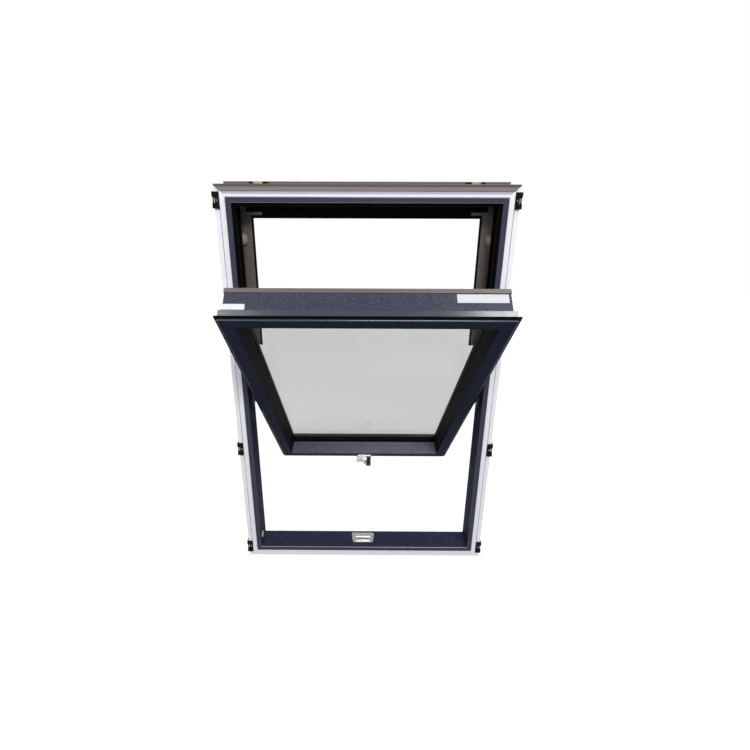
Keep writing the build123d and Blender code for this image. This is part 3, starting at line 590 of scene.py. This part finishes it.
def sash_finish(face, sash_rise):
    """Finish of a face of the sash, by how far in it lies and where it looks when closed."""
    place = SASH_CLOSE @ face.center
    facing = SASH_CLOSE.to_3x3() @ face.normal
    inward = min(SASH_HALF_WIDTH - abs(place.x), sash_rise - abs(place.z))
    if inward < SASH_LIP:
        return "edge"
    # Slopes that face across the opening are painted black, as painted shade.
    if inward > FLAT_END and abs(facing.x) > FACING:
        return "shaded_bead"
    # Upper faces get the foil painted lighter, as painted light; the others get it painted
    # darker, as painted shade.
    return "painted_lit_finish" if facing.z > FACING else "foil"


class RW_OT_profiles(bpy.types.Operator):
    """Dress the PVC profiles: foil on nose, reveal and sash, bare PVC on the frame's edge."""
    bl_idname = "roofwindow.profiles"
    bl_label = "Profiles"

    def execute(self, context):
        look = context.scene.window_look
        # One foil in two copies: painted darker as shade, and painted lighter as light.
        foil = grained_foil("grained_foil_painted_shade", look.foil, look.foil_grain_glints,
                            gloss=0.02, rough=0.55)
        painted_lit_finish = grained_foil("grained_foil_painted_lit", look.painted_lit_foil, look.lit_foil_grain_glints,
                             gloss=0.1, rough=0.16)
        edge = stretched_foil("stretched_foil_on_pvc", look.edge_foil)
        # On the head and sill, the nose's rounded corners get this foil painted pale, as a
        # painted highlight.
        painted_highlight = stretched_foil("foil_edge_painted_highlight", look.painted_highlight_edge)
        white = extruded_pvc("extruded_white_pvc", look.white_pvc)
        painted_shadow_finish = extruded_pvc(
            "white_pvc_painted_shadow", look.white_pvc, look.painted_strip_shadow, look.painted_joint_shadow)
        coat = coated_sheet("coated_head_top", look.strip_shade_and_head_top)
        # Black rubber in the frame's groove, as painted shade.
        groove_painted_shade = extruded_rubber()
        for name in ("frame_head", "frame_sill", "frame_jamb_left", "frame_jamb_right"):
            dress_faces(name, {
                "foil": foil, "white": white, "groove_painted_shade": groove_painted_shade, "painted_lit_finish": painted_lit_finish,
                # The jambs' rounded corners get the smooth foil; the head's and sill's get it
                # painted pale, as a painted highlight.
                "edge": edge if "jamb" in name else painted_highlight, "painted_shadow_finish": painted_shadow_finish, "coat": coat,
            }, frame_finish, name == "frame_head")

        # Black on the sash's slopes that face across the opening, as painted shade.
        shaded_bead = painted_shade_bead()
        sash_rise = max(point.z for point in sash_points("sash_top_rail"))
        for name in ("sash_top_rail", "sash_bottom_rail", "sash_stile_left", "sash_stile_right"):
            dress_faces(name, {"foil": foil, "edge": edge, "shaded_bead": shaded_bead, "painted_lit_finish": painted_lit_finish},
                        sash_finish, sash_rise)
        return {"FINISHED"}


class RW_OT_metalwork(bpy.types.Operator):
    """Dress the covers, steel tubes and fittings."""
    bl_idname = "roofwindow.metalwork"
    bl_label = "Metalwork"

    def execute(self, context):
        look = context.scene.window_look
        dress(coated_sheet("coated_aluminium_sheet", look.cladding),
              *[name for name in NODES if "_cover_" in name], "head_hood", "sill_cover")
        # The strip's room face is painted darker along its upper edge, as painted shade.
        dress_faces("head_trim", {
            "plain": coated_sheet("coated_aluminium_strip", look.trim),
            "front": coated_sheet("coated_aluminium_strip_front_painted_shade", look.trim, look.strip_shade_and_head_top),
        }, lambda face: "front" if face.normal.y < -FACING else "plain")
        dress(galvanised_steel(), *[name for name in NODES if "_steel_" in name],
              "frame_screws", "sash_screws", "latch_tongue")
        dress(cast_zinc(), "striker", "latch_case")
        dress(blackened_zinc(), "pivot_plate_left", "pivot_plate_right", "bearing_plate_left",
              "bearing_plate_right")
        dress(yellow_zinc(), "head_clips")
        dress(anodised_aluminium("satin_anodised_aluminium", look.silver, rough=0.2),
              "handle_base")
        # The lever's neck is dressed in black zinc, as painted shade on its shaded side.
        dress_faces("handle_lever", {
            "lever": anodised_aluminium("matt_anodised_aluminium", look.lever, rough=0.36),
            "shaded_neck": blackened_zinc(),
        }, lambda face: "shaded_neck" if face.center.x > look.shaded_neck_start else "lever")
        return {"FINISHED"}


class RW_OT_rubber_and_plastic(bpy.types.Operator):
    """Dress the seals, gaskets and moulded pieces."""
    bl_idname = "roofwindow.rubber_and_plastic"
    bl_label = "Rubber and plastic"

    def execute(self, context):
        dress(extruded_rubber(), "rebate_seal", "lip_seal", "sash_seal", "glazing_gasket",
              "cover_gasket", "edge_seal")
        dress(moulded_plastic("moulded_black_nylon", "060607", "121214",
                              grain_mm=1.2, rough=0.42, gloss=0.08),
              "bracket_shoes_left", "bracket_shoes_right", "bracket_shoes_head")
        dress(moulded_plastic("moulded_taupe_nylon", "8d7b6c", "9d8b7b",
                              grain_mm=1.0, rough=0.36),
              "cover_caps")
        dress(moulded_plastic("black_warm_edge_spacer", "050506", "0d0e0f",
                              grain_mm=2.0, rough=0.45, gloss=0.03),
              "glass_spacer")
        dress(moulded_plastic("moulded_white_acetal", "d2d2d8", "e0e0e4",
                              grain_mm=2.0, rough=0.3, gloss=0.2),
              "bolt_plate", "cleaning_bolt")
        dress(moulded_plastic("moulded_pale_grey_acetal", "b9b9bf", "d3d3d8",
                              grain_mm=2.0, rough=0.25),
              "bolt_bush")
        return {"FINISHED"}


class RW_OT_glazing(bpy.types.Operator):
    """Dress the panes of the insulating glass unit."""
    bl_idname = "roofwindow.glazing"
    bl_label = "Glazing"

    def execute(self, context):
        dress(float_glass(), "inner_pane", "outer_pane")
        return {"FINISHED"}


def sash_plate(name, low, high, material):
    """Box between two corners of the closed sash, swung open and riding with it."""
    mesh = bpy.data.meshes.new(name)
    shape = bmesh.new()
    bmesh.ops.create_cube(shape, size=1.0)
    size = high - low
    middle = (high + low) / 2
    shape.transform(SASH_TURN @ Matrix.Translation(middle) @ Matrix.Diagonal((*size, 1.0)))
    shape.to_mesh(mesh)
    shape.free()
    mesh.materials.append(material)
    piece = bpy.data.objects.new(name, mesh)
    bpy.context.scene.collection.objects.link(piece)
    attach(piece, "sash")


class RW_OT_label(bpy.types.Operator):
    """Put the blank label on the end face of the top rail."""
    bl_idname = "roofwindow.label"
    bl_label = "Label"

    def execute(self, context):
        look = context.scene.window_look
        face_z = max(point.z for point in sash_points("sash_cover_top")) - look.cover_gauge
        room_y = min(point.y for point in sash_points("sash_top_rail"))
        low = Vector((LABEL_ACROSS[0], room_y + LABEL_BACK[0], face_z))
        high = Vector((LABEL_ACROSS[1], room_y + LABEL_BACK[1], face_z + look.label_thickness))
        sash_plate("blank_label", low, high, label_paper())
        return {"FINISHED"}


def seen_directly(tree):
    """1 for rays that show the surroundings: from the camera, by reflection or through glass."""
    path = add_node(tree, "ShaderNodeLightPath")
    either = add_node(tree, "ShaderNodeMath", {
        0: path.outputs["Is Camera Ray"], 1: path.outputs["Is Transmission Ray"]},
        operation="MAXIMUM")
    return add_node(tree, "ShaderNodeMath", {0: either, 1: path.outputs["Is Glossy Ray"]},
                    operation="MAXIMUM")


def area_lamp(name, place, target, size, power):
    """Soft lamp aimed at a point. It doesn't show through the glass."""
    data = bpy.data.lights.new(name, "AREA")
    data.shape = "RECTANGLE"
    data.size, data.size_y = size
    data.energy = power
    lamp = bpy.data.objects.new(name, data)
    bpy.context.scene.collection.objects.link(lamp)
    lamp.location = place
    lamp.visible_transmission = False
    lamp.rotation_mode = "QUATERNION"
    lamp.rotation_quaternion = (Vector(target) - lamp.location).to_track_quat("-Z", "Y")


# Matt white floor: paper-like and glowing where it is seen, so that it shows as white and keeps
# a faint shadow. It throws less light back on to the window.
def matt_floor():
    material, tree, place = start_material("matt_white_floor")
    paper = add_node(tree, "ShaderNodeTexNoise", {
        "Vector": place, "Scale": per_metre(6), "Detail": 3.0, "Roughness": 0.55})
    colour = add_node(tree, "ShaderNodeValToRGB", {"Fac": paper},
                      stops=[(0.3, "f4f4f4"), (0.7, "f7f7f7")])
    surface = add_node(tree, "ShaderNodeBsdfPrincipled", {
        "Base Color": colour, "Roughness": 0.9})
    glow = add_node(tree, "ShaderNodeEmission", {
        "Color": linear("ffffff"), "Strength": FLOOR_GLOW})
    lit = add_node(tree, "ShaderNodeMixShader", {0: FLOOR_GLOW_SHARE, 1: surface, 2: glow})
    dark = add_node(tree, "ShaderNodeBsdfDiffuse", {"Color": linear("6c6c70")})
    mix = add_node(tree, "ShaderNodeMixShader", {0: seen_directly(tree), 1: dark, 2: lit})
    add_node(tree, "ShaderNodeOutputMaterial", {"Surface": mix})
    return material


class RW_OT_stage(bpy.types.Operator):
    """Make the camera, the lamps, the white surroundings and the floor."""
    bl_idname = "roofwindow.stage"
    bl_label = "Stage"

    def execute(self, context):
        scene = context.scene
        stage = scene.window_stage
        scene.view_settings.view_transform = "Standard"

        camera = bpy.data.cameras.new("photo_camera")
        camera.sensor_width = SENSOR_WIDTH_MM
        camera.lens = stage.lens
        camera.shift_x, camera.shift_y = stage.shift
        eye = bpy.data.objects.new("photo_camera", camera)
        scene.collection.objects.link(eye)
        scene.camera = eye
        ahead = Vector((math.sin(stage.yaw) * math.cos(stage.pitch),
                        math.cos(stage.yaw) * math.cos(stage.pitch), -math.sin(stage.pitch)))
        level = Vector((math.cos(stage.yaw), -math.sin(stage.yaw), 0.0))
        upright = level.cross(ahead)
        right = level * math.cos(stage.roll) + upright * math.sin(stage.roll)
        up = upright * math.cos(stage.roll) - level * math.sin(stage.roll)
        turn = Matrix((right, up, -ahead)).transposed().to_4x4()
        eye.matrix_world = Matrix.Translation(Vector(stage.eye)) @ turn

        world = bpy.data.worlds.new("white_studio")
        scene.world = world
        world.use_nodes = True
        tree = world.node_tree
        tree.nodes.clear()
        strength = add_node(tree, "ShaderNodeMapRange", {
            "Value": seen_directly(tree), "To Min": WORLD_LIGHT, "To Max": WORLD_SEEN})
        light = add_node(tree, "ShaderNodeBackground", {
            "Color": linear("ffffff"), "Strength": strength})
        add_node(tree, "ShaderNodeOutputWorld", {"Surface": light})

        for lamp in LAMPS:
            area_lamp(*lamp)

        mesh = bpy.data.meshes.new("studio_floor")
        shape = bmesh.new()
        bmesh.ops.create_grid(shape, x_segments=1, y_segments=1, size=FLOOR_HALF_SIZE)
        shape.to_mesh(mesh)
        shape.free()
        mesh.materials.append(matt_floor())
        floor = bpy.data.objects.new("studio_floor", mesh)
        floor.location.z = CAD_BOX[0].z - stage.floor_gap
        scene.collection.objects.link(floor)
        return {"FINISHED"}


class RW_PT_panel(bpy.types.Panel):
    """Sidebar panel with the window's values and operators."""
    bl_label = "Roof window"
    bl_idname = "RW_PT_panel"
    bl_space_type = "VIEW_3D"
    bl_region_type = "UI"
    bl_category = "Roof window"

    def draw(self, context):
        for group in (context.scene.window_look, context.scene.window_stage):
            for name in group.bl_rna.properties.keys():
                if name not in ("rna_type", "name"):
                    self.layout.prop(group, name)
        for operator in OPERATORS:
            self.layout.operator(operator.bl_idname)


OPERATORS = (RW_OT_profiles, RW_OT_metalwork, RW_OT_rubber_and_plastic, RW_OT_glazing,
             RW_OT_label, RW_OT_stage)
CLASSES = (WindowLook, WindowStage) + OPERATORS + (RW_PT_panel,)


def register():
    for cls in CLASSES:
        bpy.utils.register_class(cls)
    bpy.types.Scene.window_look = bpy.props.PointerProperty(type=WindowLook)
    bpy.types.Scene.window_stage = bpy.props.PointerProperty(type=WindowStage)


def unregister():
    del bpy.types.Scene.window_stage
    del bpy.types.Scene.window_look
    for cls in reversed(CLASSES):
        bpy.utils.unregister_class(cls)


def main():
    register()
    bpy.ops.roofwindow.profiles()
    bpy.ops.roofwindow.metalwork()
    bpy.ops.roofwindow.rubber_and_plastic()
    bpy.ops.roofwindow.glazing()
    bpy.ops.roofwindow.label()
    bpy.ops.roofwindow.stage()


if __name__ == "__main__":
    main()
